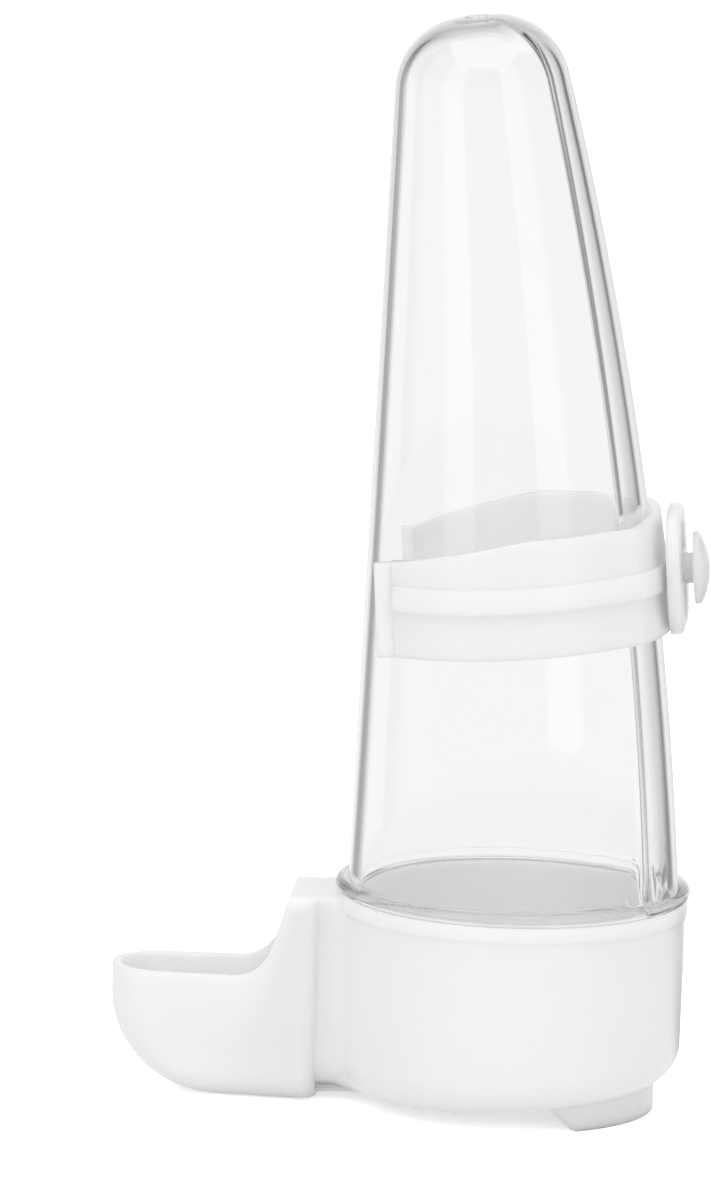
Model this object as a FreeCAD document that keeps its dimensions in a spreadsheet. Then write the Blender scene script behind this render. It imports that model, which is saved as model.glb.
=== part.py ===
import FreeCAD, Part

import math
import os

import Sketcher

# Siphon drinker for a bird cage, three mouldings: a clear bottle, a white cup with
# a trough, and a white clip. Millimetres, +Z up. The trough points to -X and the
# button of the clip to +X. Each piece is drawn about the upright axis of the cup and
# then moved along X, so that the origin is under the middle of the whole length.

SIZES = {
    # cup and foot
    "cup_radius": 26.0,
    "cup_draft": 0.3,
    "rim_height": 32.0,
    "wall": 1.5,
    "lip_height": 2.2,
    "lip_proud": 0.3,
    "cup_round": 6.0,
    "floor_slope": 4.2,
    "floor_run": 10.0,
    "foot_inset": 3.9,
    "foot_wall": 1.7,
    "foot_angle": 58.0,
    "foot_flare": 3.0,
    "foot_top": 5.5,
    # trough, hood and neck
    "trough_length": 34.0,
    "trough_rim": 19.0,
    "keel_radius": 15.0,
    "tip_radius": 7.9,
    "trough_edge": 4.5,
    "hood_half_width": 8.9,
    "hood_length": 6.9,
    "hood_round": 2.6,
    "hood_slope": 18.0,
    "hood_edge": 2.0,
    "roof_drop": 0.4,
    "scoop_radius": 6.0,
    "passage_height": 10.0,
    "neck_half_width": 7.5,
    "neck_length": 2.4,
    "neck_round": 4.0,
    "neck_sink": 1.0,
    # bottle
    "bottle_inset": 1.25,
    "bottle_wall": 1.5,
    "wall_length": 121.3,
    "shoulder_rise": 2.2,
    "collar_proud": 0.65,
    "collar_round": 1.1,
    "skirt_gap": 0.15,
    "skirt_depth": 9.5,
    "gate_radius": 1.7,
    "gate_height": 0.2,
    # clip
    "clip_height": 80.9,
    "clip_pitch": 4.5,
    "clip_gap": 0.25,
    "band_wall": 1.6,
    "band_below": 8.7,
    "band_above": 8.7,
    "arm_above": 5.2,
    "arm_taper_start": 2.0,
    "arm_lip": 2.0,
    "lip_angle": 25.0,
    "rib_proud": 0.9,
    "rib_height": 3.8,
    "plate_stand": 0.48,
    "plate_thick": 2.0,
    "plate_width": 21.0,
    "plate_height": 18.4,
    "plate_corner": 6.5,
    "plate_round": 0.9,
    "window_width": 7.0,
    "window_height": 4.6,
    "window_start": 2.6,
    "stud_radius": 2.3,
    "wire_gap": 1.6,
    "button_radius": 5.45,
    "button_thick": 2.3,
    "button_rim": 0.8,
}

D = "Dimensions."

# Sizes that follow from the ones above. The cup's radius is what the rest hangs on:
# the bottle stands in the cup, and trough, hood and foot keep their distance to it.
CUP_FOOT = f"({D}cup_radius - {D}cup_draft)"
FOOT_RADIUS = f"({D}cup_radius - {D}foot_inset)"
TROUGH_REACH = f"({D}cup_radius + {D}trough_length)"
HOOD_FRONT = f"({D}cup_radius + {D}hood_length)"
HOOD_BACK = f"({D}cup_radius + {D}neck_length)"
SLOPE_START = f"({D}cup_radius + {D}floor_run)"
ROOF_HEIGHT = f"({D}rim_height - {D}roof_drop)"
COLLAR_RADIUS = f"({D}cup_radius + {D}collar_proud)"
SHOULDER_HEIGHT = f"({D}rim_height + {D}shoulder_rise)"
BOTTLE_RADIUS = f"({D}cup_radius - {D}bottle_inset)"
MELT = f"({D}wall / 8)"
FAR = f"({D}cup_radius * 3)"
TINY = 0.05

doc = FreeCAD.newDocument("bird_cage_waterer")


def make_sheet():
    sheet = doc.addObject("Spreadsheet::Sheet", "Dimensions")
    for row, (name, size) in enumerate(SIZES.items(), start=1):
        sheet.set(f"A{row}", name)
        sheet.set(f"B{row}", str(size))
        sheet.setAlias(f"B{row}", name)
    doc.recompute()
    return sheet


SHEET = make_sheet()


def number(expression):
    """The plain value of an expression on the sheet's cells."""
    return float(SHEET.evalExpression(expression))


def new_body(name):
    body = doc.addObject("PartDesign::Body", name)
    body.setExpression("Placement.Base.x", f"({TROUGH_REACH} - {BUTTON_REACH}) / 2")
    return body


def new_sketch(body, name, plane="XY_Plane", height=None, along="z"):
    """A sketch on one of the body's own planes, lifted by an expression."""
    sketch = body.newObject("Sketcher::SketchObject", name)
    support = next(f for f in body.Origin.OriginFeatures if f.Role == plane)
    sketch.AttachmentSupport = [(support, "")]
    sketch.MapMode = "FlatFace"
    if height is not None:
        sketch.setExpression(f"AttachmentOffset.Base.{along}", height)
    return sketch


def hold(sketch, kind, geometry, point, expression):
    """Ties one coordinate of a point to an expression."""
    if expression == "0":
        axis = -2 if kind == "DistanceX" else -1
        sketch.addConstraint(Sketcher.Constraint("PointOnObject", geometry, point, axis))
        return
    index = sketch.addConstraint(
        Sketcher.Constraint(kind, -1, 1, geometry, point, number(expression))
    )
    sketch.setExpression(f"Constraints[{index}]", expression)


def hold_size(sketch, kind, geometry, expression):
    index = sketch.addConstraint(Sketcher.Constraint(kind, geometry, number(expression)))
    sketch.setExpression(f"Constraints[{index}]", expression)


def outline(sketch, steps):
    """A closed outline, travelled with its inside on the left.

    A step is a corner given as expressions. A third entry is the radius of an arc to
    the next corner, and a fourth says that this arc is hollowed into the shape.
    """
    points = [FreeCAD.Vector(number(step[0]), number(step[1]), 0) for step in steps]
    count = len(steps)
    ends = []
    for i, step in enumerate(steps):
        start, end = points[i], points[(i + 1) % count]
        if len(step) == 2:
            sketch.addGeometry(Part.LineSegment(start, end))
            ends.append((1, 2))
            continue
        radius = number(step[2])
        half = (end - start) * 0.5
        right = FreeCAD.Vector(half.y, -half.x, 0).normalize()
        sag = radius - math.sqrt(max(radius**2 - half.Length**2, 0))
        if len(step) == 4:
            sketch.addGeometry(Part.Arc(end, start + half - right * sag, start))
            ends.append((2, 1))
        else:
            sketch.addGeometry(Part.Arc(start, start + half + right * sag, end))
            ends.append((1, 2))
    for i in range(count):
        follower = (i + 1) % count
        sketch.addConstraint(
            Sketcher.Constraint("Coincident", i, ends[i][1], follower, ends[follower][0])
        )
    for i, step in enumerate(steps):
        hold(sketch, "DistanceX", i, ends[i][0], step[0])
        hold(sketch, "DistanceY", i, ends[i][0], step[1])
        if len(step) > 2:
            hold_size(sketch, "Radius", i, step[2])


def circle(sketch, radius, x="0", y="0"):
    centre = FreeCAD.Vector(number(x), number(y), 0)
    sketch.addGeometry(Part.Circle(centre, FreeCAD.Vector(0, 0, 1), number(radius)))
    hold(sketch, "DistanceX", 0, 3, x)
    hold(sketch, "DistanceY", 0, 3, y)
    hold_size(sketch, "Radius", 0, radius)


def pad(body, sketch, length=None, both_ways=False, backwards=False):
    feature = body.newObject("PartDesign::Pad", sketch.Name + "_pad")
    feature.Profile = sketch
    feature.setExpression("Length", length)
    if both_ways:
        feature.SideType = "Symmetric"
    feature.Reversed = backwards
    return feature


def pocket(body, sketch, length=None, both_ways=False, backwards=False):
    feature = body.newObject("PartDesign::Pocket", sketch.Name + "_pocket")
    feature.Profile = sketch
    if length is None:
        feature.Type = "ThroughAll"
    else:
        feature.setExpression("Length", length)
    if both_ways:
        feature.SideType = "Symmetric"
    feature.Reversed = backwards
    return feature


def turn(body, sketch, axis="V_Axis"):
    """Turns a sketch on the XZ plane about its upright or its level axis."""
    feature = body.newObject("PartDesign::Revolution", sketch.Name + "_turn")
    feature.Profile = sketch
    feature.ReferenceAxis = (sketch, [axis])
    feature.Angle = 360
    return feature


CUT_LOFT = "PartDesign::SubtractiveLoft"


def loft(body, sections, kind="PartDesign::AdditiveLoft"):
    feature = body.newObject(kind, sections[0].Name + "_loft")
    feature.Profile = sections[0]
    feature.Sections = sections[1:]
    return feature


def fillet(body, base, edges, radius):
    feature = body.newObject("PartDesign::Fillet", base.Name + "_round")
    feature.Base = (base, edges)
    feature.setExpression("Radius", radius)
    return feature


def edges_where(feature, test):
    """Names of the feature's edges whose middle point passes the test."""
    doc.recompute()
    names = []
    for i, edge in enumerate(feature.Shape.Edges, start=1):
        middle = edge.valueAt((edge.FirstParameter + edge.LastParameter) / 2)
        if test(middle, edge):
            names.append(f"Edge{i}")
    return names


def floor_at(x):
    """Height of the sloping underside of the cup, as an expression in x."""
    return f"(({x}) + {SLOPE_START}) * tan({D}floor_slope)"


# The bottle is a tapered D in section: a round front, straight flanks and a shallow
# curved back. Its axis leans towards the front, and both the lean and the taper grow
# on the way up. Every section is the same D, square to the axis and scaled.

WALL_STEPS = (0, 1 / 3, 2 / 3, 1)
DOME_STEPS = (0, 1 / 5, 2 / 5, 3 / 5, 4 / 5, 1)
CORNER_ANGLE = 36.0
CORNER_REACH = 1.056
TAPER = (0.231, 0.244)
LEAN = (0.094, 0.248)
DOME_SHARE = 0.83


def grown(rates, share):
    """A growing rate added up over a share of the wall, as a part of the radius."""
    return f"({rates[0]} * {share} + {rates[1]} * {share} * {share})"


def angle_at(rates, share):
    """The angle to the axis, in degrees, that such a growing rate has reached."""
    rate = f"({rates[0]} + 2 * {rates[1]} * {share})"
    return f"(atan({BOTTLE_RADIUS} * {rate} / {D}wall_length) / 1 deg)"


def wall_place(share):
    """Radius, axis x, height and tilt of the wall's section at a share of its length."""
    radius = f"({BOTTLE_RADIUS} * (1 - {grown(TAPER, share)}))"
    x = f"(-{BOTTLE_RADIUS} * {grown(LEAN, share)})"
    height = f"({SHOULDER_HEIGHT} + {D}wall_length * {share})"
    return radius, x, height, angle_at(LEAN, share)


def dome_place(share, inset):
    """The same for the dome, an arc of revolution about the leaning axis."""
    radius, x, height, tilt = wall_place(1)
    start = angle_at(TAPER, 1)
    angle = f"({start} + (90 - {start}) * {share})"
    dome = f"({radius} * {DOME_SHARE})"
    arc = f"({dome} - ({inset}))"
    ring = f"({radius} - {dome} * cos({start}) + {arc} * cos({angle}))"
    rise = f"({arc} * sin({angle}) - {dome} * sin({start}))"
    return ring, f"({x} - {rise} * sin({tilt}))", f"({height} + {rise} * cos({tilt}))", tilt


def leaning_sketch(body, name, x, height, tilt):
    """A sketch whose plane is level across and tipped towards the front."""
    sketch = new_sketch(body, name)
    sketch.AttachmentOffset = FreeCAD.Placement(
        FreeCAD.Vector(0, 0, 0), FreeCAD.Rotation(FreeCAD.Vector(0, -1, 0), 1)
    )
    sketch.setExpression("AttachmentOffset.Base.x", x)
    sketch.setExpression("AttachmentOffset.Base.z", height)
    sketch.setExpression("AttachmentOffset.Rotation.Angle", tilt)
    return sketch


def bottle_section(body, name, place):
    """One D-shaped section of the bottle, square to its axis."""
    radius, x, height, tilt = place
    sketch = leaning_sketch(body, name, x, height, tilt)
    corner_x = f"{radius} * {CORNER_REACH} * cos({CORNER_ANGLE})"
    corner_y = f"{radius} * {CORNER_REACH} * sin({CORNER_ANGLE})"
    r, px, py = number(radius), number(corner_x), number(corner_y)
    tangent = math.radians(CORNER_ANGLE) + math.acos(1 / CORNER_REACH)
    qx, qy = r * math.cos(tangent), r * math.sin(tangent)
    vec = FreeCAD.Vector
    sketch.addGeometry(Part.Arc(vec(qx, qy, 0), vec(-r, 0, 0), vec(qx, -qy, 0)))
    sketch.addGeometry(Part.LineSegment(vec(qx, -qy, 0), vec(px, -py, 0)))
    sketch.addGeometry(Part.Arc(vec(px, -py, 0), vec(r, 0, 0), vec(px, py, 0)))
    sketch.addGeometry(Part.LineSegment(vec(px, py, 0), vec(qx, qy, 0)))
    link = Sketcher.Constraint
    sketch.addConstraint(link("Tangent", 0, 2, 1, 1))
    sketch.addConstraint(link("Coincident", 1, 2, 2, 1))
    sketch.addConstraint(link("Coincident", 2, 2, 3, 1))
    sketch.addConstraint(link("Tangent", 3, 2, 0, 1))
    sketch.addConstraint(link("Coincident", 0, 3, -1, 1))
    hold_size(sketch, "Radius", 0, radius)
    hold(sketch, "DistanceX", 1, 2, corner_x)
    hold(sketch, "DistanceY", 1, 2, f"-({corner_y})")
    hold(sketch, "DistanceX", 3, 1, corner_x)
    hold(sketch, "DistanceY", 3, 1, corner_y)
    sag = f"({radius} * (1 - {CORNER_REACH} * cos({CORNER_ANGLE})))"
    hold_size(sketch, "Radius", 2, f"(({corner_y}) ^ 2 + {sag} ^ 2) / (2 * {sag})")
    return sketch


def wall_sections(body, prefix, inset, shares=WALL_STEPS):
    sections = []
    for i, share in enumerate(shares):
        radius, x, height, tilt = wall_place(share)
        place = (f"({radius} - ({inset}))", x, height, tilt)
        sections.append(bottle_section(body, f"{prefix}_wall_{i}", place))
    return sections


def dome_sections(body, prefix, inset):
    return [
        bottle_section(body, f"{prefix}_dome_{i}", dome_place(share, inset))
        for i, share in enumerate(DOME_STEPS)
    ]


def make_bottle():
    body = new_body("water_tube")
    body.Label = "water_tube"
    loft(body, wall_sections(body, "outside", "0"))
    loft(body, dome_sections(body, "outside", "0"))
    ring = new_sketch(body, "collar", "XZ_Plane")
    skirt_outside = f"{D}cup_radius - {D}wall - {D}skirt_gap"
    skirt_inside = f"{skirt_outside} - {D}bottle_wall"
    skirt_end = f"{D}rim_height - {D}skirt_depth"
    collar_top = f"{SHOULDER_HEIGHT} + {MELT}"
    ceiling = f"{SHOULDER_HEIGHT} - {D}bottle_wall"
    outline(
        ring,
        [
            (skirt_inside, skirt_end),
            (skirt_outside, skirt_end),
            (skirt_outside, f"{D}rim_height"),
            (COLLAR_RADIUS, f"{D}rim_height"),
            (COLLAR_RADIUS, collar_top),
            ("0", collar_top),
            ("0", ceiling),
            (skirt_inside, ceiling),
        ],
    )
    collar = turn(body, ring)
    edge = number(COLLAR_RADIUS)
    rounding = edges_where(
        collar,
        lambda p, e: abs(math.hypot(p.x, p.y) - edge) < TINY and isinstance(e.Curve, Part.Circle),
    )
    fillet(body, collar, rounding, f"{D}collar_round")
    gate = leaning_sketch(body, "gate", *dome_place(1, "0")[1:])
    circle(gate, f"{D}gate_radius")
    pad(body, gate, f"{D}gate_height * 2", both_ways=True)
    start = f"(-({D}bottle_wall + {MELT}) / {D}wall_length)"
    radius, x, height, _ = wall_place(start)
    mouth = bottle_section(body, "mouth", (f"({radius} - {D}bottle_wall)", x, height, "0"))
    wall = wall_sections(body, "inside", f"{D}bottle_wall", WALL_STEPS[1:-1])
    dome = dome_sections(body, "inside", f"{D}bottle_wall")
    loft(body, [mouth] + wall + dome[:1], CUT_LOFT)
    loft(body, dome, CUT_LOFT)
    return body


# The base is one moulding: a round cup whose floor slopes down to the trough, the
# hooded neck that joins them, the trough and the foot. Its outside and its hollow
# are two bodies, and the hollow is cut from the outside.

EDGE_STEPS = (0, 22.5, 45, 67.5, 90)
KEEL_STEPS = (0, 1 / 3, 2 / 3, 1)


def cut_under_floor(body, name, skin):
    """Takes away what lies under the sloping floor, raised by the wall or not."""
    wedge = new_sketch(body, name, "XZ_Plane")
    outline(
        wedge,
        [
            (f"-{SLOPE_START}", f"-{FAR}"),
            (FAR, f"-{FAR}"),
            (FAR, f"{floor_at(FAR)} + {skin}"),
            (f"-{SLOPE_START}", skin),
        ],
    )
    return pocket(body, wedge, both_ways=True)


def cup_and_neck(body, prefix, skin, top):
    """Cup and neck, drawn in by the skin, with a rounded sloping floor."""
    cup = new_sketch(body, f"{prefix}_cup", "XZ_Plane")
    outline(
        cup,
        [
            ("0", "0"),
            (f"{CUP_FOOT} - {skin}", "0"),
            (f"{D}cup_radius - {skin}", f"{D}rim_height - {D}skirt_depth"),
            (f"{D}cup_radius - {skin}", top),
            ("0", top),
        ],
    )
    turn(body, cup)
    neck = new_sketch(body, f"{prefix}_neck")
    neck_start = f"-({HOOD_BACK} + {D}neck_sink + {skin})"
    half = f"{D}neck_half_width - {skin}"
    outline(
        neck,
        [
            (neck_start, f"-({half})"),
            (f"-{D}cup_radius / 2", f"-({half})"),
            (f"-{D}cup_radius / 2", half),
            (neck_start, half),
        ],
    )
    pad(body, neck, f"{ROOF_HEIGHT} - {skin}")
    return cut_under_floor(body, f"{prefix}_floor", skin)


def trough_sections(body, prefix, skin, rises, insets):
    """Level sections of trough and hood: a rounded tip and two opening flanks."""
    keel = f"({D}keel_radius - {skin})"
    back = f"-({HOOD_BACK} + {skin})"
    corner = f"({D}hood_round - {skin})"
    sections = []
    for i, (rise, inset) in enumerate(zip(rises, insets)):
        tip = f"(-{TROUGH_REACH} + {skin} + {keel} - sqrt({keel}^2 - ({keel} - {rise})^2))"
        tip_radius = f"({D}tip_radius - {inset})"
        half = f"({D}hood_half_width - {inset})"
        sketch = new_sketch(body, f"{prefix}_{i}", height=f"{skin} + {rise}")
        outline(
            sketch,
            [
                (f"{tip} + {tip_radius}", tip_radius, tip_radius),
                (tip, "0", tip_radius),
                (f"{tip} + {tip_radius}", f"-{tip_radius}"),
                (f"{back} - {corner}", f"-{half}", corner),
                (back, f"-{half} + {corner}"),
                (back, f"{half} - {corner}", corner),
                (f"{back} - {corner}", half),
            ],
        )
        sections.append(sketch)
    return sections


def trough_and_hood(body, prefix, skin):
    """The trough with its rounded lower edges, carried on up to the roof."""
    edge = f"({D}trough_edge - {skin})"
    keel = f"({D}keel_radius - {skin})"
    rises = [f"({edge} * (1 - cos({angle})))" for angle in EDGE_STEPS]
    insets = [f"({skin} + {edge} * (1 - sin({angle})))" for angle in EDGE_STEPS]
    lower = trough_sections(body, f"{prefix}_edge", skin, rises, insets)
    loft(body, lower)
    rises = [f"({edge} + ({keel} - {edge}) * {share})" for share in KEEL_STEPS]
    upper = trough_sections(body, f"{prefix}_keel", skin, rises, [skin] * len(KEEL_STEPS))
    loft(body, upper)
    pad(body, upper[-1], f"{ROOF_HEIGHT} - {skin} - {D}keel_radius")


def hood_front_at(height):
    """Where the sloping front of the hood is at a height."""
    return f"(-{HOOD_FRONT} - ({ROOF_HEIGHT} - ({height})) * tan({D}hood_slope))"


def open_the_trough(body):
    """Clears what stands above the trough's rim, up to the curve of the hood."""
    above = f"{D}rim_height + {D}wall"
    beyond = f"-{TROUGH_REACH} - {D}wall"
    reach = f"({D}scoop_radius * tan(45 - {D}hood_slope / 2))"
    foot = hood_front_at(f"{D}trough_rim")
    sketch = new_sketch(body, "above_rim", "XZ_Plane")
    outline(
        sketch,
        [
            (beyond, f"{D}trough_rim"),
            (f"{foot} - {reach}", f"{D}trough_rim", f"{D}scoop_radius"),
            (
                f"{foot} + {reach} * sin({D}hood_slope)",
                f"{D}trough_rim + {reach} * cos({D}hood_slope)",
            ),
            (hood_front_at(above), above),
            (beyond, above),
        ],
    )
    pocket(body, sketch, both_ways=True)


def round_the_hood(body):
    """Rounds the long edges of the hood's roof with one cut along the trough."""
    half = f"{D}hood_half_width"
    flat = f"({half} - {D}hood_edge)"
    low = f"{ROOF_HEIGHT} - {D}hood_edge"
    beyond = f"({half} + {D}wall)"
    above = f"{ROOF_HEIGHT} + {D}wall"
    sketch = new_sketch(body, "roof_edges", "YZ_Plane", f"-{HOOD_BACK}")
    outline(
        sketch,
        [
            (f"-{beyond}", low),
            (f"-{half}", low, f"{D}hood_edge", "hollow"),
            (f"-{flat}", ROOF_HEIGHT),
            (flat, ROOF_HEIGHT, f"{D}hood_edge", "hollow"),
            (half, low),
            (beyond, low),
            (beyond, above),
            (f"-{beyond}", above),
        ],
    )
    pocket(body, sketch)


def foot_section(body, name, height):
    """Plan of the arc-shaped foot, wider the higher it is cut."""
    angle = f"({D}foot_angle + {D}foot_flare * {height})"
    outer = FOOT_RADIUS
    inner = f"({FOOT_RADIUS} - {D}foot_wall)"
    sketch = new_sketch(body, name, height=height)
    outline(
        sketch,
        [
            (f"{inner} * cos({angle})", f"-{inner} * sin({angle})"),
            (f"{outer} * cos({angle})", f"-{outer} * sin({angle})", outer),
            (f"{outer} * cos({angle})", f"{outer} * sin({angle})"),
            (f"{inner} * cos({angle})", f"{inner} * sin({angle})", inner, "hollow"),
        ],
    )
    return sketch


def above_floor(p):
    """How far a point lies above the sloping underside."""
    return p.z - (p.x + number(SLOPE_START)) * math.tan(math.radians(SIZES["floor_slope"]))


def make_base_outside():
    body = new_body("base_outside")
    floor = cup_and_neck(body, "outer", "0", f"{D}rim_height")
    corners = edges_where(
        floor,
        lambda p, e: abs(abs(p.y) - SIZES["neck_half_width"]) < TINY
        and abs(math.hypot(p.x, p.y) - SIZES["cup_radius"]) < SIZES["cup_draft"] + TINY
        and e.Length > SIZES["neck_half_width"],
    )
    flared = fillet(body, floor, corners, f"{D}neck_round")
    end = -number(HOOD_BACK) - SIZES["neck_sink"] / 2
    bottom = edges_where(flared, lambda p, e: abs(above_floor(p)) < TINY and p.x > end)
    fillet(body, flared, bottom, f"{D}cup_round")
    trough_and_hood(body, "outer", "0")
    open_the_trough(body)
    round_the_hood(body)
    cut_under_floor(body, "outer_trough_floor", "0")
    loft(body, [foot_section(body, "foot_low", "0"), foot_section(body, "foot_high", f"{D}foot_top")])
    lip = new_sketch(body, "lip", "XZ_Plane")
    start = f"{D}rim_height - {D}lip_height"
    outline(
        lip,
        [
            (f"{D}cup_radius - {D}lip_proud", f"{start} - {D}lip_proud"),
            (f"{D}cup_radius", f"{start} - {D}lip_proud"),
            (f"{D}cup_radius + {D}lip_proud", start),
            (f"{D}cup_radius + {D}lip_proud", f"{D}rim_height"),
            (f"{D}cup_radius - {D}lip_proud", f"{D}rim_height"),
        ],
    )
    turn(body, lip)
    return body


def make_base_hollow():
    body = new_body("base_hollow")
    floor = cup_and_neck(body, "inner", f"{D}wall", f"{D}rim_height + {D}wall")
    bottom = edges_where(
        floor,
        lambda p, e: abs(above_floor(p) - SIZES["wall"]) < TINY
        and math.hypot(p.x, p.y) > SIZES["cup_radius"] * 0.9
        and p.x > -SIZES["cup_radius"] * 0.8,
    )
    fillet(body, floor, bottom, f"{D}cup_round - {D}wall")
    trough_and_hood(body, "inner", f"{D}wall")
    cut_under_floor(body, "inner_trough_floor", f"{D}wall")
    front = new_sketch(body, "hood_wall", "XZ_Plane")
    low = f"{D}passage_height"
    high = f"{D}rim_height + {D}wall"
    thick = f"{D}wall / cos({D}hood_slope)"
    outline(
        front,
        [
            (hood_front_at(low), low),
            (f"{hood_front_at(low)} + {thick}", low),
            (f"{hood_front_at(high)} + {thick}", high),
            (hood_front_at(high), high),
        ],
    )
    pocket(body, front, both_ways=True)
    return body


def make_base():
    base = doc.addObject("Part::Cut", "base_cup")
    base.Label = "base_cup"
    base.Base = make_base_outside()
    base.Tool = make_base_hollow()
    return base


# The clip hugs the bottle. Its body is pitched so that its rib, plate and button
# are straight in it, and the bottle's sections are carried over into that tilt.

CLIP_STEPS = (-1.8, -0.6, 0.6, 1.8)
ARM_SHARE = 0.73
BAND = f"({D}clip_gap + {D}band_wall)"
BAND_MIDDLE = f"({D}clip_gap + {D}band_wall / 2)"


def clip_place(step, gap):
    """Place of a section of the bottle in the clip's own frame, grown by a gap."""
    share = f"(({D}clip_height + {D}band_above * ({step}) - {SHOULDER_HEIGHT}) / {D}wall_length)"
    radius, x, height, tilt = wall_place(share)
    rise = f"({height} - {D}clip_height)"
    along = f"({x} * cos({D}clip_pitch) + {rise} * sin({D}clip_pitch))"
    up = f"({rise} * cos({D}clip_pitch) - {x} * sin({D}clip_pitch))"
    return f"({radius} + {gap})", along, up, f"({tilt} - {D}clip_pitch)"


# Places along the pitched clip: the arms' ends, the plate's faces and the button.
MIDDLE_RADIUS, MIDDLE_ALONG, _, _ = clip_place("0", BAND_MIDDLE)
ARM_SLANT = math.sqrt(1 - ARM_SHARE**2)
ARM_END = f"({MIDDLE_ALONG} - {ARM_SHARE} * {MIDDLE_RADIUS})"
PLATE_START = f"({MIDDLE_ALONG} + {MIDDLE_RADIUS} + {D}band_wall / 2 + {D}plate_stand)"
PLATE_END = f"({PLATE_START} + {D}plate_thick)"
BUTTON_START = f"({PLATE_END} + {D}wire_gap)"
BUTTON_END = f"({BUTTON_START} + {D}button_thick)"
BUTTON_REACH = f"({BUTTON_END} * cos({D}clip_pitch))"


def clip_sections(body, prefix, gap):
    return [
        bottle_section(body, f"{prefix}_{i}", clip_place(step, gap))
        for i, step in enumerate(CLIP_STEPS)
    ]


def clear(body, name, corners):
    """Takes away everything seen inside an outline from the side."""
    sketch = new_sketch(body, name, "XZ_Plane")
    outline(sketch, corners)
    pocket(body, sketch, both_ways=True)


def flared_end(body, name, side):
    """The outward flared end of one arm, which lets the clip slide on."""
    half = f"({D}band_wall / 2)"
    ends = (("-1", f"-{D}band_below"), (f"{D}arm_above / {D}band_above", f"{D}arm_above"))
    across = f"{half} * ({ARM_SHARE} + {ARM_SLANT})"
    along_arm = f"{half} * ({ARM_SLANT} - {ARM_SHARE})"
    sections = []
    for i, (step, height) in enumerate(ends):
        radius, along, _, _ = clip_place(step, BAND_MIDDLE)
        arm_y = f"sqrt({radius} ^ 2 - ({ARM_END} - {along}) ^ 2)"
        tip_x = f"({ARM_END} - {D}arm_lip * cos({D}lip_angle))"
        tip_y = f"({arm_y} + {D}arm_lip * sin({D}lip_angle))"
        steps = [
            (f"({ARM_END} + {across})", f"({arm_y} - {along_arm})"),
            (f"({ARM_END} + {along_arm})", f"({arm_y} + {across})"),
            (tip_x, f"({tip_y} + {half})", half),
            (f"({tip_x} - {half})", tip_y, half),
            (tip_x, f"({tip_y} - {half})"),
        ]
        if side < 0:
            steps = [(x, f"-{y}") for x, y, *_ in steps]
            steps.reverse()
            steps[0] += (half,)
            steps[1] += (half,)
        sketch = new_sketch(body, f"{name}_{i}", height=height)
        outline(sketch, steps)
        sections.append(sketch)
    loft(body, sections)


def make_clip():
    body = new_body("cage_clip")
    body.Label = "cage_clip"
    body.Placement = FreeCAD.Placement(
        FreeCAD.Vector(0, 0, 0), FreeCAD.Rotation(FreeCAD.Vector(0, -1, 0), 1)
    )
    body.setExpression("Placement.Base.z", f"{D}clip_height")
    body.setExpression("Placement.Rotation.Angle", f"{D}clip_pitch")
    loft(body, clip_sections(body, "rib", f"({BAND} + {D}rib_proud)"))
    half = f"{D}rib_height / 2"
    clear(body, "above_rib", [(f"-{FAR}", half), (FAR, half), (FAR, FAR), (f"-{FAR}", FAR)])
    clear(
        body,
        "below_rib",
        [(f"-{FAR}", f"-{FAR}"), (FAR, f"-{FAR}"), (FAR, f"-{half}"), (f"-{FAR}", f"-{half}")],
    )
    loft(body, clip_sections(body, "band", BAND))
    clear(
        body,
        "above_band",
        [
            (f"-{FAR}", f"{D}arm_above"),
            (ARM_END, f"{D}arm_above"),
            (f"{D}arm_taper_start", f"{D}band_above"),
            (FAR, f"{D}band_above"),
            (FAR, FAR),
            (f"-{FAR}", FAR),
        ],
    )
    low = f"-{D}band_below"
    clear(body, "below_band", [(f"-{FAR}", f"-{FAR}"), (FAR, f"-{FAR}"), (FAR, low), (f"-{FAR}", low)])
    back_plate(body)
    loft(body, clip_sections(body, "bore", f"{D}clip_gap"), CUT_LOFT)
    clear(
        body,
        "mouth",
        [(f"-{FAR}", f"-{FAR}"), (ARM_END, f"-{FAR}"), (ARM_END, FAR), (f"-{FAR}", FAR)],
    )
    flared_end(body, "near_end", -1)
    flared_end(body, "far_end", 1)
    return body


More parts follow.
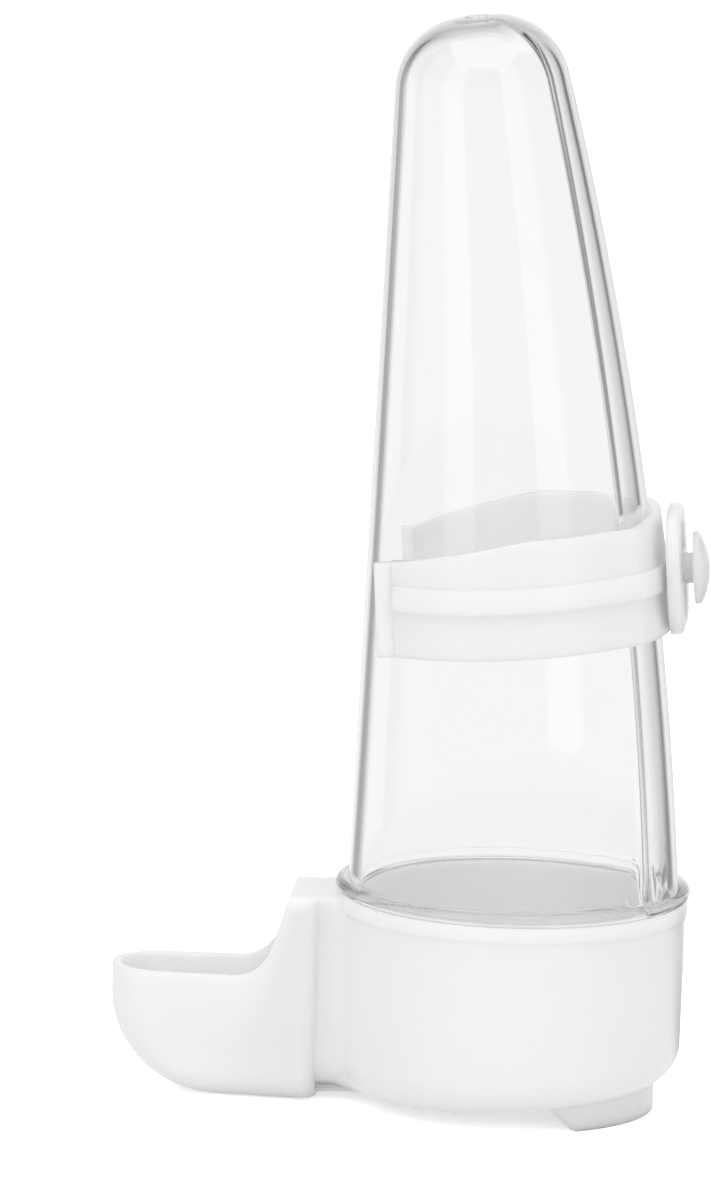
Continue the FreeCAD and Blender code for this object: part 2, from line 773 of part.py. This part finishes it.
def back_plate(body):
    """The plate with its windows, the stud and the domed button."""
    plate = new_sketch(body, "plate", "YZ_Plane", PLATE_START)
    wide = f"{D}plate_width / 2"
    tall = f"{D}plate_height / 2"
    corner = f"{D}plate_corner"
    outline(
        plate,
        [
            (f"{corner} - {wide}", f"-{tall}"),
            (f"{wide} - {corner}", f"-{tall}", corner),
            (wide, f"{corner} - {tall}"),
            (wide, f"{tall} - {corner}", corner),
            (f"{wide} - {corner}", tall),
            (f"{corner} - {wide}", tall, corner),
            (f"-{wide}", f"{tall} - {corner}"),
            (f"-{wide}", f"{corner} - {tall}", corner),
        ],
    )
    slab = pad(body, plate, f"{D}plate_thick")
    end = number(PLATE_END)
    rim = edges_where(slab, lambda p, e: abs(p.x - end) < TINY)
    fillet(body, slab, rim, f"{D}plate_round")
    windows = {"upper": f"{D}window_start", "lower": f"-{D}window_start - {D}window_height"}
    for name, low in windows.items():
        window = new_sketch(body, f"{name}_window", "YZ_Plane", PLATE_END)
        side = f"{D}window_width / 2"
        high = f"{low} + {D}window_height"
        outline(window, [(f"-{side}", low), (side, low), (side, high), (f"-{side}", high)])
        pocket(body, window, f"{D}plate_thick")
    button = new_sketch(body, "button", "XZ_Plane")
    dome = f"({D}button_thick - {D}button_rim)"
    outline(
        button,
        [
            (f"{PLATE_END} - {MELT}", "0"),
            (BUTTON_END, "0", f"({D}button_radius ^ 2 + {dome} ^ 2) / (2 * {dome})"),
            (f"{BUTTON_START} + {D}button_rim", f"{D}button_radius"),
            (BUTTON_START, f"{D}button_radius"),
            (BUTTON_START, f"{D}stud_radius"),
            (f"{PLATE_END} - {MELT}", f"{D}stud_radius"),
        ],
    )
    turn(body, button, "H_Axis")


def checked(objects):
    for item in doc.Objects:
        bad = [state for state in item.State if state in ("Invalid", "Error")]
        if bad:
            raise RuntimeError(f"{item.Name}: {item.State}")
    for item in objects:
        shape = item.Shape
        if shape.isNull() or not shape.isValid() or shape.Volume <= 0:
            raise RuntimeError(f"{item.Label}: bad shape")
        print(item.Label, "solids", len(shape.Solids), "volume", round(shape.Volume))


pieces = [make_bottle(), make_base(), make_clip()]
doc.recompute()
checked(pieces)
os.makedirs("parts", exist_ok=True)
for piece in pieces:
    piece.Shape.exportStep(os.path.join("parts", piece.Label + ".step"))
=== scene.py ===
# %% [markdown]
# # A siphon drinker for a bird cage
# The real drinker is three mouldings: a clear bottle that stands mouth down, a white
# cup with a trough, and a white clip. The solids come from the CAD frame, so this
# lesson is about how such plastics look and how a clear moulding is built and lit.

# %% Load the frame
import math

import bmesh
import bpy
from mathutils import Matrix, Vector


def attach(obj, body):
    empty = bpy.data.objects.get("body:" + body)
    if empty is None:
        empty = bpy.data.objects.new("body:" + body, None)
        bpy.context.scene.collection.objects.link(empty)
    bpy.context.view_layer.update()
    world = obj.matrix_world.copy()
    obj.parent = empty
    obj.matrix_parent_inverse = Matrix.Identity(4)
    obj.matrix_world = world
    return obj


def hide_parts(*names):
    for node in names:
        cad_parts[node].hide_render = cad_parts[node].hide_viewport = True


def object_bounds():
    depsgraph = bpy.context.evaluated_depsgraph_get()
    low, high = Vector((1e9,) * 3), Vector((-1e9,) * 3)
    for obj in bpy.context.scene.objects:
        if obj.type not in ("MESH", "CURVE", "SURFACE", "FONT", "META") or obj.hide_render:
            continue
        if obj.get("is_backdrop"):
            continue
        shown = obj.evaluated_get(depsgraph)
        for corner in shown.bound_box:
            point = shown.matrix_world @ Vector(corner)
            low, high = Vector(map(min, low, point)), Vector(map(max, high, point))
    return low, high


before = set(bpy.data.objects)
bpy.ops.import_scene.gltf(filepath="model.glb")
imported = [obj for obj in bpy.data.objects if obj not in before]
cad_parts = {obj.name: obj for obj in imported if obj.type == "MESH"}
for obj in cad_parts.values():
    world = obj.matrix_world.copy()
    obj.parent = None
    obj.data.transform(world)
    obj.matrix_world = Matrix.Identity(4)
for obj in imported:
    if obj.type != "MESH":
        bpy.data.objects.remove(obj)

MM = 0.001
low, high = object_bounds()
cad_box = [list(low), list(high)]
print("CAD box in mm:", [round(v / MM, 1) for v in cad_box[0] + cad_box[1]])

# %% [markdown]
# ## Writing shaders as sums
# A material is a web of nodes, and most of its nodes only add, multiply or mix. This
# small class wraps a socket, so that such sums can be written as plain expressions.
# Every other node comes from one method, which returns the node's outputs as a list.


# %% A socket that can be added and multiplied
class Wire:
    """A node's output that takes part in sums."""

    def __init__(self, tree, socket):
        self.tree = tree
        self.socket = socket

    def sum(self, operation, first, second):
        values = {0: first, 1: second}
        return self.tree.node("ShaderNodeMath", {"operation": operation}, values)[0]

    def __add__(self, other):
        return self.sum("ADD", self, other)

    __radd__ = __add__

    def __mul__(self, other):
        return self.sum("MULTIPLY", self, other)

    __rmul__ = __mul__

    def __sub__(self, other):
        return self.sum("SUBTRACT", self, other)

    def __rsub__(self, other):
        return self.sum("SUBTRACT", other, self)


class Tree:
    """A material's or a world's node tree, empty but for its output."""

    def __init__(self, owner, output="ShaderNodeOutputMaterial"):
        owner.use_nodes = True
        self.nodes = owner.node_tree.nodes
        self.links = owner.node_tree.links
        self.nodes.clear()
        self.output = self.nodes.new(output)

    def node(self, kind, settings=None, values=None):
        """Adds a node with its settings and socket values, and returns its outputs."""
        made = self.nodes.new(kind)
        for name, setting in (settings or {}).items():
            if name == "stops":
                self.set_stops(made.color_ramp.elements, setting)
            else:
                setattr(made, name, setting)
        for name, value in (values or {}).items():
            if isinstance(value, Wire):
                self.links.new(value.socket, made.inputs[name])
            else:
                made.inputs[name].default_value = value
        return [Wire(self, socket) for socket in made.outputs]

    def set_stops(self, elements, stops):
        """Gives a ramp its greys, each at its place."""
        while len(elements) < len(stops):
            elements.new(1.0)
        for element, (place, shade) in zip(elements, stops):
            element.position = place
            element.color = grey(shade)

    def show(self, wire):
        self.links.new(wire.socket, self.output.inputs["Surface"])


def grey(shade):
    return (shade, shade, shade, 1)


# Outputs by their place in a node's list: Light Path, then Texture Coordinate.
CAMERA_RAY, SHADOW_RAY, DIFFUSE_RAY, GLOSSY_RAY, TRANSMISSION_RAY = 0, 1, 2, 3, 6
RAY_DEPTH = 9
OBJECT_PLACE = 3
DIRECTION = 0

# %% [markdown]
# ## The white plastic
# Cup and clip are moulded in glossy white plastic that lets a little light in, the thin
# clip more than the cup. It is never quite even: the gloss wanders, and long soft waves
# from the mould bend the reflections. Both come from noise patterns, which need no
# picture and have no seams. The Bevel node rounds every edge in the shading alone, so
# the small radii of the mould show and the CAD solids stay as they are.

# %% White plastic
HAZE_SCALE, HAZE_DETAIL = 90.0, 3.0
WAVE_SCALE, WAVE_DETAIL = 35.0, 1.0
WAVE_STRENGTH, WAVE_HEIGHT = 0.12, 0.3 * MM
DULL_WHITE = (0.895, 0.895, 0.893, 1)
FULL_WHITE = grey(0.92)
HAZE_IN_TINT = 0.6
HAZE_IN_ROUGHNESS = 0.1
LEAST_ROUGHNESS = 0.2
EDGE_ROUND = 0.9 * MM
EDGE_SAMPLES = 6
WHITE_IOR = 1.49
LIGHT_LET_IN = 0.9
# Each piece with the start of its pattern and how deep light goes into it.
WHITE_PIECES = (("base_cup", 0.3, 3.5 * MM), ("cage_clip", 1.7, 8.0 * MM))


def cloud(tree, place, scale, detail):
    """A soft noise pattern."""
    values = {"Vector": place, "Scale": scale, "Detail": detail}
    return tree.node("ShaderNodeTexNoise", {}, values)[0]


def white_plastic(name, seed, depth):
    material = bpy.data.materials.new(name)
    tree = Tree(material)
    place = tree.node("ShaderNodeTexCoord")[OBJECT_PLACE]
    shift = {"Vector": place, "Location": (seed, 0, 0)}
    moved = tree.node("ShaderNodeMapping", {}, shift)[0]
    haze = cloud(tree, moved, HAZE_SCALE, HAZE_DETAIL)
    wave = cloud(tree, moved, WAVE_SCALE, WAVE_DETAIL)
    # Sockets 0, 6 and 7 of a colour mix are its factor and two colours, 2 its result.
    tint = tree.node(
        "ShaderNodeMix",
        {"data_type": "RGBA"},
        {0: haze * HAZE_IN_TINT, 6: DULL_WHITE, 7: FULL_WHITE},
    )[2]
    bevel = {"samples": EDGE_SAMPLES}
    rounded = tree.node("ShaderNodeBevel", bevel, {"Radius": EDGE_ROUND})[0]
    normal = tree.node(
        "ShaderNodeBump",
        {},
        {
            "Strength": WAVE_STRENGTH,
            "Distance": WAVE_HEIGHT,
            "Height": wave,
            "Normal": rounded,
        },
    )[0]
    shader = tree.node(
        "ShaderNodeBsdfPrincipled",
        {},
        {
            "Base Color": tint,
            "Roughness": haze * HAZE_IN_ROUGHNESS + LEAST_ROUGHNESS,
            "IOR": WHITE_IOR,
            "Subsurface Weight": LIGHT_LET_IN,
            "Subsurface Radius": (1.0, 1.0, 1.0),
            "Subsurface Scale": depth,
            "Normal": normal,
        },
    )[0]
    tree.show(shader)
    return material


for node, seed, depth in WHITE_PIECES:
    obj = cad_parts[node]
    material = white_plastic(f"{node}_white_plastic", seed, depth)
    for slot in obj.material_slots:
        slot.material = material
    print(node, "has", len(obj.data.polygons), "triangles")

# %% [markdown]
# ## The clear plastic
# A clear moulding is seen by what it bends and mirrors: its walls are nearly
# invisible face on and dark or bright where they are seen edge on. Light for what
# stands inside, from the lamps or from the room, passes straight through it in the
# shader, so the cup's inside isn't in its shadow. A ray that is caught in the wall goes
# on straight after a few bounces, because it would end black.

# %% Clear plastic
CLEAR_TINT = grey(0.958)
PASSING_TINT = grey(0.99)
CLEAR_ROUGHNESS = 0.02
CLEAR_IOR = 1.5
FLOW_SCALE, FLOW_DETAIL = 28.0, 1.0
FLOW_STRENGTH, FLOW_HEIGHT = 0.05, 0.3 * MM
MOST_BOUNCES = 3.0


def clear_plastic():
    material = bpy.data.materials.new("clear_plastic")
    tree = Tree(material)
    place = tree.node("ShaderNodeTexCoord")[OBJECT_PLACE]
    wave = cloud(tree, place, FLOW_SCALE, FLOW_DETAIL)
    bump = {"Strength": FLOW_STRENGTH, "Distance": FLOW_HEIGHT, "Height": wave}
    normal = tree.node("ShaderNodeBump", {}, bump)[0]
    glass = tree.node(
        "ShaderNodeBsdfPrincipled",
        {},
        {
            "Base Color": CLEAR_TINT,
            "Roughness": CLEAR_ROUGHNESS,
            "IOR": CLEAR_IOR,
            "Transmission Weight": 1.0,
            "Normal": normal,
        },
    )[0]
    passing = tree.node("ShaderNodeBsdfTransparent", {}, {"Color": PASSING_TINT})[0]
    ray = tree.node("ShaderNodeLightPath")
    trapped = tree.node(
        "ShaderNodeMath",
        {"operation": "GREATER_THAN"},
        {0: ray[RAY_DEPTH], 1: MOST_BOUNCES},
    )[0]
    straight = ray[SHADOW_RAY] + ray[DIFFUSE_RAY] + trapped
    mix = {0: straight, 1: glass, 2: passing}
    tree.show(tree.node("ShaderNodeMixShader", {}, mix)[0])
    return material


# %% [markdown]
# ## The bottle's section
# The bottle is a D in plan: some 250 degrees of a circle, two short flats and a shallow
# curved back towards the cage. One formula says how far each of these is from the
# middle in every direction, and the mean over a few degrees rounds the two corners,
# because a mould has no sharp edges. A loop of edges is a circle until the formula
# pulls it onto the D.

# %% The D
# Angles are taken from the cage's side, and lengths are parts of the circle's radius.
SIDES = 180
CORNER = math.radians(36.0)
CORNER_REACH = 1.056
CORNER_BLUR = [math.radians(step) for step in (-1.5, 0, 1.5)]
FLAT = CORNER + math.acos(1 / CORNER_REACH)
SAG = 1 - CORNER_REACH * math.cos(CORNER)
BACK_RADIUS = ((CORNER_REACH * math.sin(CORNER)) ** 2 + SAG**2) / (2 * SAG)


def sharp_reach(angle):
    """Distance from the middle to the D, as a part of its radius."""
    angle = abs(angle)
    if angle > FLAT:
        return 1.0
    if angle > CORNER:
        return 1 / math.cos(FLAT - angle)
    across = (1 - BACK_RADIUS) * math.cos(angle)
    return across + math.sqrt(across**2 + 2 * BACK_RADIUS - 1)


def reach(angle):
    """The same with rounded corners."""
    return sum(sharp_reach(angle + step) for step in CORNER_BLUR) / len(CORNER_BLUR)


print("the D reaches", round(reach(CORNER), 3), "of its radius at its corners")

# %% [markdown]
# ## The bottle's rise
# Taper and lean both grow on the way up, so the silhouette is gently curved. A table of
# heights and radii could be read off the silhouette, but two short formulas keep the
# curve even and are easy to change. They give a ring for any share of the wall or of
# the dome: its radius, the place of its middle and how far it is tipped.

# %% Sizes of the bottle
# The axis stands 60 mm from the trough's tip, and heights are over the table.
AXIS = cad_box[0][0] + 60.0 * MM
RIM = 32.0 * MM
SHOULDER = 34.2 * MM
SKIRT_END = 22.5 * MM
WALL = 1.5 * MM
CEILING = SHOULDER - WALL
BOTTLE_RADIUS = 24.75 * MM
SKIRT_RADIUS = 24.35 * MM
COLLAR_RADIUS = 26.65 * MM
COLLAR_ROUND = (SHOULDER - RIM) / 2
WALL_LENGTH = 121.3 * MM
# A steady and a growing part, both as parts of the radius over the wall's length.
TAPER = (0.231, 0.244)
LEAN = (0.094, 0.248)
DOME_SHARE = 0.83
GATE_RADIUS = 1.7 * MM
GATE_HEIGHT = 0.2 * MM


def grown(rates, share):
    """What a taper or a lean has come to, as a part of the bottle's radius."""
    return rates[0] * share + rates[1] * share**2


def slope(rates, share):
    """The angle at which it grows there."""
    return math.atan(BOTTLE_RADIUS * (rates[0] + 2 * rates[1] * share) / WALL_LENGTH)


def wall_ring(share, inset=0.0):
    """Radius, x, height and tilt of the D at a share of the wall's length."""
    radius = BOTTLE_RADIUS * (1 - grown(TAPER, share)) - inset
    x = AXIS - BOTTLE_RADIUS * grown(LEAN, share)
    return radius, x, SHOULDER + WALL_LENGTH * share, slope(LEAN, share)


def dome_ring(share, inset=0.0):
    """The same at a share of the dome's arc, which goes on from the wall."""
    radius, x, height, tilt = wall_ring(1.0)
    start = slope(TAPER, 1.0)
    angle = start + (math.pi / 2 - start) * share
    arc = radius * DOME_SHARE
    ring = radius - arc * math.cos(start) + (arc - inset) * math.cos(angle)
    rise = (arc - inset) * math.sin(angle) - arc * math.sin(start)
    return ring, x - rise * math.sin(tilt), height + rise * math.cos(tilt), tilt


print("the wall meets the dome at", round(wall_ring(1.0)[2] / MM, 1), "mm")

# %% [markdown]
# ## Climbing with one loop
# The wall is the D extruded again and again, each time moved, scaled and tipped a
# little, and the dome goes on in the same way. The skirt and the collar below them are
# plain circles of the same loop. A stack of separate rings with bridges between them
# would do as well, but one loop that climbs can't leave a gap.


# %% Climbing
NEAR = 0.1 * MM


def lean(angle, middle):
    """Tips what is selected towards the front, about a level line through a point."""
    bpy.ops.transform.rotate(value=angle, orient_axis="Y", center_override=middle)


def climb(rings):
    """Extrudes the selected loop from the first ring through all the others."""
    for before, after in zip(rings, rings[1:]):
        middle = Vector((after[1], 0, after[2]))
        move = middle - Vector((before[1], 0, before[2]))
        bpy.ops.mesh.extrude_region_move(TRANSFORM_OT_translate={"value": move})
        scale = (after[0] / before[0],) * 3
        bpy.ops.transform.resize(value=scale, center_override=middle)
        lean(after[3] - before[3], middle)


def onto_the_d(before, ring):
    """Extrudes a level circle once more and pulls the new loop onto the D."""
    radius, x, height, tilt = ring
    climb([before, (radius, x, height, 0.0)])
    mesh = bmesh.from_edit_mesh(bpy.context.object.data)
    middle = Vector((x, 0, height))
    for vertex in mesh.verts:
        if vertex.select:
            arm = vertex.co - middle
            vertex.co = middle + arm * reach(math.atan2(arm.y, arm.x))
    bmesh.update_edit_mesh(bpy.context.object.data)
    lean(tilt, middle)


def select_rim(height):
    """Selects the open rim at a height."""
    bpy.ops.mesh.select_all(action="DESELECT")
    mesh = bmesh.from_edit_mesh(bpy.context.object.data)
    for edge in mesh.edges:
        if len(edge.link_faces) == 1 and abs(edge.verts[0].co.z - height) < NEAR:
            edge.select_set(True)
    bmesh.update_edit_mesh(bpy.context.object.data)


# %% [markdown]
# ## The bottle's outside
# A circle at the end of the skirt climbs to the rim, round the collar, and onto the D.
# From there it follows the wall and the dome, and ends in the small round mark that
# the plastic's way into the mould has left on the top.

# %% The outside
WALL_RINGS = 24
DOME_RINGS = 14
COLLAR_STEPS = 8

bpy.ops.object.select_all(action="DESELECT")
bpy.ops.mesh.primitive_circle_add(
    vertices=SIDES, radius=SKIRT_RADIUS, location=(AXIS, 0, SKIRT_END)
)
bottle = bpy.context.object
bottle.name = "clear_bottle"
bpy.ops.object.transform_apply(location=True)
bpy.ops.object.mode_set(mode="EDIT")
bpy.ops.mesh.select_all(action="SELECT")
collar = [(SKIRT_RADIUS, AXIS, SKIRT_END, 0), (SKIRT_RADIUS, AXIS, RIM, 0)]
for i in range(COLLAR_STEPS + 1):
    a = math.pi * i / COLLAR_STEPS
    wide = COLLAR_RADIUS - COLLAR_ROUND * (1 - math.sin(a))
    collar.append((wide, AXIS, RIM + COLLAR_ROUND * (1 - math.cos(a)), 0))
climb(collar)
outside = [wall_ring(i / WALL_RINGS) for i in range(WALL_RINGS + 1)]
outside += [dome_ring(i / DOME_RINGS) for i in range(1, DOME_RINGS + 1)]
onto_the_d(collar[-1], outside[0])
climb(outside)
_, x, height, tilt = outside[-1]
gate_x = x - GATE_HEIGHT * math.sin(tilt)
gate_top = height + GATE_HEIGHT * math.cos(tilt)
foot_of_gate = (GATE_RADIUS, x, height, tilt)
climb([outside[-1], foot_of_gate, (GATE_RADIUS, gate_x, gate_top, tilt)])
bpy.ops.mesh.edge_face_add()
print("the outside has", len(collar) + len(outside), "rings")

# %% [markdown]
# ## The bottle's inside
# Clear plastic shows both faces of its wall, so the cavity is modelled too. The loop at
# the end of the skirt is taken up again, turns inwards, and climbs the bore and then
# a smaller D up into the dome. That leaves one closed wall of an even thickness, as in
# the moulding, and no Solidify modifier has to guess it at the corners.

# %% The inside
select_rim(SKIRT_END)
bore = SKIRT_RADIUS - WALL
climb([collar[0], (bore, AXIS, SKIRT_END, 0), (bore, AXIS, CEILING, 0)])
mouth = wall_ring(-WALL / WALL_LENGTH, WALL)
inside = [mouth[:3] + (0.0,)]
inside += [wall_ring(i / WALL_RINGS, WALL) for i in range(1, WALL_RINGS + 1)]
inside += [dome_ring(i / DOME_RINGS, WALL) for i in range(1, DOME_RINGS + 1)]
onto_the_d((bore, AXIS, CEILING, 0), inside[0])
climb(inside)
bpy.ops.mesh.edge_face_add()
print("the cavity is", round((inside[-1][2] - SKIRT_END) / MM, 1), "mm deep")

# %% [markdown]
# ## The finished bottle
# Faces that were extruded inwards and outwards don't all point the same way, so the
# normals are worked out again. Smooth shading then hides the rings, except at the
# sharp turns of the skirt and the gate mark. The bottle takes the place of its CAD
# node, because every facet of a plain mesh would show in clear plastic.

# %% Finish the bottle
SHARPEST_SMOOTH = math.radians(35)

bpy.ops.mesh.select_all(action="SELECT")
bpy.ops.mesh.normals_make_consistent(inside=False)
bpy.ops.object.mode_set(mode="OBJECT")
bpy.ops.object.shade_smooth_by_angle(angle=SHARPEST_SMOOTH)
bottle.data.materials.append(clear_plastic())
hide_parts("water_tube")
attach(bottle, "root")
tall = max(v.co.z for v in bottle.data.vertices)
print("bottle has", len(bottle.data.polygons), "faces,", round(tall / MM, 2), "mm high")

# %% [markdown]
# ## The studio
# The photograph is a bright field: a white ground fills the picture. Clear walls only
# show where they bend the view away from that white, so the room is made darker in two
# places, behind the drinker to its left and right, as a photographer puts dark cards
# there. The cards are a part of the white itself, told by its direction from the
# bottle, and only mirrored and bent rays see them.

# %% The white of the room
# Angles from straight behind the drinker, in degrees, each with its shade.
CARDS = [
    (-52, 1.0),
    (-44, 0.3),
    (-33, 0.3),
    (-28, 1.0),
    (24, 1.0),
    (28, 0.18),
    (44, 0.18),
    (58, 1.0),
]


def room_white(tree, place):
    """White for a direction, darker where the two cards stand."""
    x, y, _ = tree.node("ShaderNodeSeparateXYZ", {}, {0: place})
    turn = tree.node("ShaderNodeMath", {"operation": "ARCTAN2"}, {0: x, 1: y})[0]
    stops = [(0.5 + math.radians(angle) / math.tau, shade) for angle, shade in CARDS]
    around = turn * (1 / math.tau) + 0.5
    return tree.node("ShaderNodeValToRGB", {"stops": stops}, {0: around})[0]


print("the darkest card has", min(shade for _, shade in CARDS), "of the white")

# %% [markdown]
# ## The floor
# The floor is a matt plane that takes the drinker's shadow. Light of its own, which
# only the camera sees, brings it up to white. More light from the lamps would do that
# too, but it would bleach the cup. A mirror or a clear wall sees the room's white and
# its cards in the floor as well, so the cards go on below the horizon.

# %% Floor
FLOOR_SIZE = 8.0
FLOOR_WHITE = 0.88
FLOOR_GLOW = 0.62


def pale(name, diffuse, glow):
    """A pale matt surface that the camera, mirrors and clear walls see as white."""
    material = bpy.data.materials.new(name)
    tree = Tree(material)
    ray = tree.node("ShaderNodeLightPath")
    place = tree.node("ShaderNodeTexCoord")[OBJECT_PLACE]
    shift = {"Vector": place, "Location": (-AXIS, 0, 0)}
    around = tree.node("ShaderNodeMapping", {}, shift)[0]
    matt = tree.node("ShaderNodeBsdfDiffuse", {}, {"Color": grey(diffuse)})[0]
    light = {"Color": grey(1), "Strength": ray[CAMERA_RAY] * glow}
    lit = tree.node("ShaderNodeEmission", {}, light)[0]
    seen = tree.node("ShaderNodeAddShader", {}, {0: matt, 1: lit})[0]
    white = {"Color": room_white(tree, around)}
    mirrored = tree.node("ShaderNodeEmission", {}, white)[0]
    mix = {0: ray[GLOSSY_RAY] + ray[TRANSMISSION_RAY], 1: seen, 2: mirrored}
    tree.show(tree.node("ShaderNodeMixShader", {}, mix)[0])
    return material


bpy.ops.object.select_all(action="DESELECT")
bpy.ops.mesh.primitive_plane_add(size=FLOOR_SIZE, location=(0, 0, 0))
floor = bpy.context.object
floor.name = "floor"
floor.data.materials.append(pale("floor_white", FLOOR_WHITE, FLOOR_GLOW))
floor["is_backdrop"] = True
print("the floor is", FLOOR_SIZE, "m wide")

# %% [markdown]
# ## The room's light
# The camera sees a plain white. What the room lights gets a little less, and least
# from the left and right, which models the round cup. Mirrors and clear walls see the
# cards, and a white that fades upwards, because that draws the edge of the dome.

# %% World
# The light on the drinker, and what it loses towards the far left and right.
ROOM_LIGHT = 0.89
LOST_AT_SIDES = 0.45
# Where the white has faded on its way up, and what is left of it there.
FADED_HEIGHT = 0.45
FADED_WHITE = 0.55

world = bpy.data.worlds.new("room")
bpy.context.scene.world = world
tree = Tree(world, "ShaderNodeOutputWorld")
ray = tree.node("ShaderNodeLightPath")
toward = tree.node("ShaderNodeTexCoord")[DIRECTION]
bent = ray[GLOSSY_RAY] + ray[TRANSMISSION_RAY]
side, _, height = tree.node("ShaderNodeSeparateXYZ", {}, {0: toward})
lighting = ROOM_LIGHT - side * side * LOST_AT_SIDES
soft = lighting * (1.0 - ray[CAMERA_RAY]) + ray[CAMERA_RAY]
plain = {"Color": grey(1), "Strength": soft}
dim = tree.node("ShaderNodeBackground", {}, plain)[0]
# Sockets 1 to 4 of a range are where it starts and ends, and what it gives there.
fade = {0: height, 1: 0.0, 2: FADED_HEIGHT, 3: 1.0, 4: FADED_WHITE}
dusk = tree.node("ShaderNodeMapRange", {}, fade)[0]
dark = {"Color": room_white(tree, toward), "Strength": dusk}
cards = tree.node("ShaderNodeBackground", {}, dark)[0]
tree.show(tree.node("ShaderNodeMixShader", {}, {0: bent, 1: dim, 2: cards})[0])
print("the room is made of", len(tree.nodes), "nodes")

# %% [markdown]
# ## The soft boxes
# Two tall soft boxes stand at the front, left and right, and draw the long pale
# reflections on the bottle. A wide one overhead lights the white plastic. Area lamps
# do this best, because their size sets both the reflections and the soft shadow.

# %% Soft boxes
BOX_DISTANCE = 1.2
BOX_AIM = Vector((0, 0, 0.08))
# Name, azimuth and elevation in degrees, width and height in metres, and power.
BOXES = [
    ("left_box", -38, 12, 0.6, 1.6, 1.8),
    ("right_box", 44, 12, 0.6, 1.6, 1.8),
    ("top_box", 0, 80, 1.5, 1.5, 5.5),
]


def away_to(azimuth, elevation):
    """Direction from the drinker into the room, from angles in degrees."""
    a, e = math.radians(azimuth), math.radians(elevation)
    return Vector((math.sin(a) * math.cos(e), -math.cos(a) * math.cos(e), math.sin(e)))


for name, azimuth, elevation, width, height, power in BOXES:
    lamp = bpy.data.lights.new(name, "AREA")
    lamp.shape = "RECTANGLE"
    lamp.size = width
    lamp.size_y = height
    lamp.energy = power
    box = bpy.data.objects.new(name, lamp)
    bpy.context.collection.objects.link(box)
    away = away_to(azimuth, elevation)
    box.location = BOX_AIM + away * BOX_DISTANCE
    box.rotation_euler = away.to_track_quat("Z", "Y").to_euler()
    print(name, "gives", power, "W")

# %% [markdown]
# ## The camera
# The cup's collar gives the camera: its ellipse tells the height of the view, its
# width tells the scale, and the upright edges tell that the picture is turned a
# little. The view is set from that point, and then aimed off it as the photograph is.

# %% Camera
PHOTO = (711, 1202)
RING = Vector((0.016, 0, 0.033))
RING_PIXEL = (513.5, 886.0)
AZIMUTH, ELEVATION, DISTANCE, ROLL = 3.5, 12.0, 2.2, 1.72
PIXELS_PER_METRE = 6655.0
SENSOR_HEIGHT = 36.0
FARTHEST = 50

away = away_to(AZIMUTH, ELEVATION)
right = Vector((0, 0, 1)).cross(away).normalized()
up = away.cross(right)
eye = RING + away * DISTANCE
dx = RING_PIXEL[0] - PHOTO[0] / 2
dy = RING_PIXEL[1] - PHOTO[1] / 2
r = math.radians(ROLL)
level_x = dx * math.cos(r) + dy * math.sin(r)
level_y = dy * math.cos(r) - dx * math.sin(r)
aim = RING - right * (level_x / PIXELS_PER_METRE) + up * (level_y / PIXELS_PER_METRE)

lens = bpy.data.cameras.new("camera")
lens.sensor_fit = "VERTICAL"
lens.sensor_height = SENSOR_HEIGHT
lens.lens = PIXELS_PER_METRE * DISTANCE * SENSOR_HEIGHT / PHOTO[1]
lens.clip_end = FARTHEST
camera = bpy.data.objects.new("camera", lens)
bpy.context.collection.objects.link(camera)
turn = (eye - aim).to_track_quat("Z", "Y").to_matrix().to_4x4()
camera.matrix_world = Matrix.Translation(eye) @ turn @ Matrix.Rotation(r, 4, "Z")
bpy.context.scene.camera = camera
bpy.context.scene.view_settings.view_transform = "Standard"
print("lens", round(lens.lens, 1), "mm")

# %% [markdown]
# ## Sizes
# The dressed drinker is meant to fill the same box as the CAD solids, so both boxes are
# measured and printed, one at the start and one at the end.

# %% Sizes and the end
low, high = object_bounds()
print("visual box in mm:", [round(v / MM, 1) for v in [*low, *high]])
